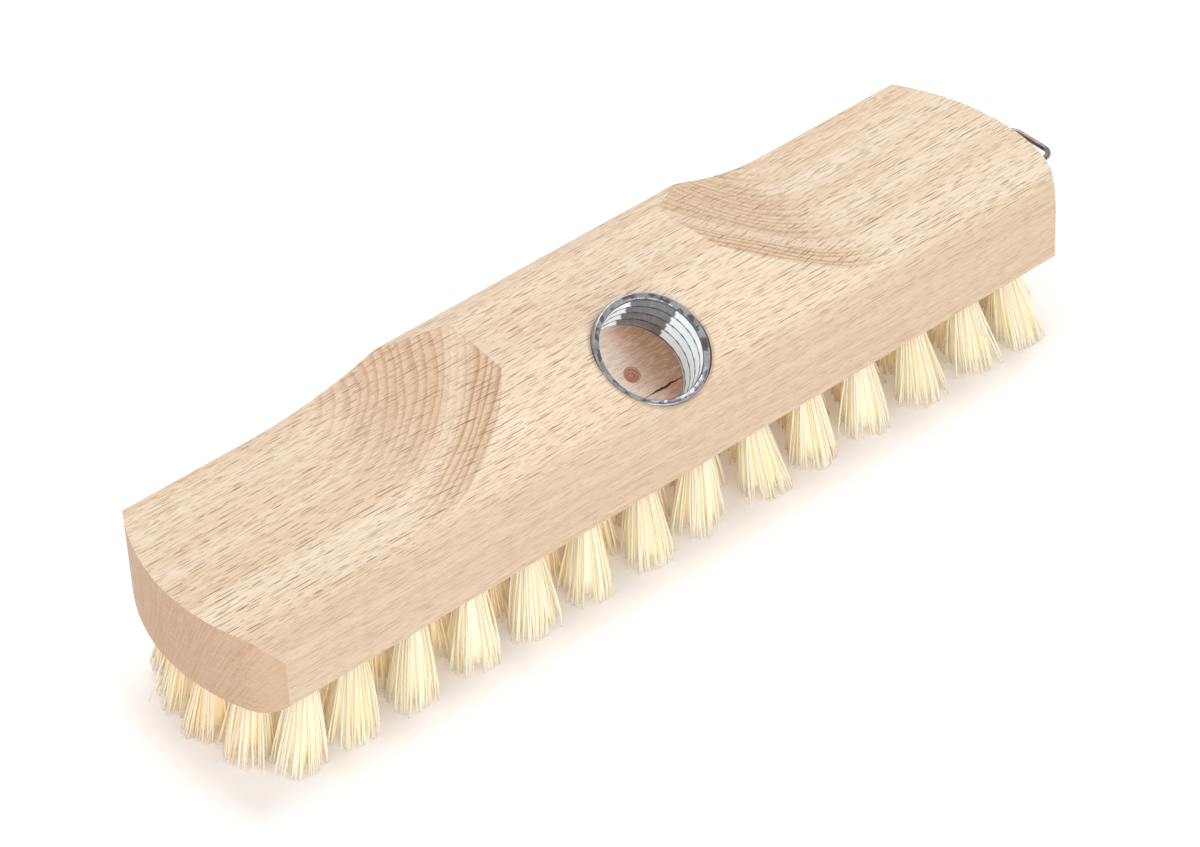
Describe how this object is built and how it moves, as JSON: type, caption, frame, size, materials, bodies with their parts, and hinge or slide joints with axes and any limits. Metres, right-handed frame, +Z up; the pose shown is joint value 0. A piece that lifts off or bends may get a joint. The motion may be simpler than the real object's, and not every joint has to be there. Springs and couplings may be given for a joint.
{
  "type": "scrubbing brush head",
  "caption": "Beech scrubbing-brush head with hollowed ends, tilted screw-in handle socket, wire hanging loop and rows of pale fibre tufts.",
  "frame": {"origin": "centre of the whole part's footprint, at the fibre tips' plane that it stands on", "axes": "+X along the block towards the hanging loop, +Z up out of the block's top, -Y the side that the handle socket leans to"},
  "size_m": [0.2284, 0.0502, 0.0503],
  "materials": {
    "beech": "fine-sanded, raw",
    "socket_steel": "bright zinc-plated sheet",
    "wire": "bright drawn wire",
    "anchor_wire": "plain flattened wire",
    "fibre": "matte bleached plant fibre"
  },
  "bodies": {
    "root": {"block": "beech", "handle_socket": "socket_steel", "hanging_loop": "wire", "tuft_anchors": "anchor_wire", "tuft_rank_01": "fibre", "tuft_rank_02": "fibre", "tuft_rank_03": "fibre", "tuft_rank_04": "fibre", "tuft_rank_05": "fibre", "tuft_rank_06": "fibre", "tuft_rank_07": "fibre", "tuft_rank_08": "fibre", "tuft_rank_09": "fibre", "tuft_rank_10": "fibre", "tuft_rank_11": "fibre", "tuft_rank_12": "fibre", "tuft_rank_13": "fibre", "tuft_rank_14": "fibre", "tuft_rank_15": "fibre", "tuft_rank_16": "fibre", "tuft_rank_17": "fibre", "tuft_rank_18": "fibre", "tuft_rank_19": "fibre", "tuft_rank_20": "fibre", "tuft_rank_21": "fibre", "tuft_rank_22": "fibre", "tuft_rank_23": "fibre", "tuft_rank_24": "fibre", "tuft_rank_25": "fibre", "tuft_rank_26": "fibre", "tuft_rank_27": "fibre", "tuft_rank_28": "fibre", "tuft_rank_29": "fibre"}
  },
  "joints": []
}
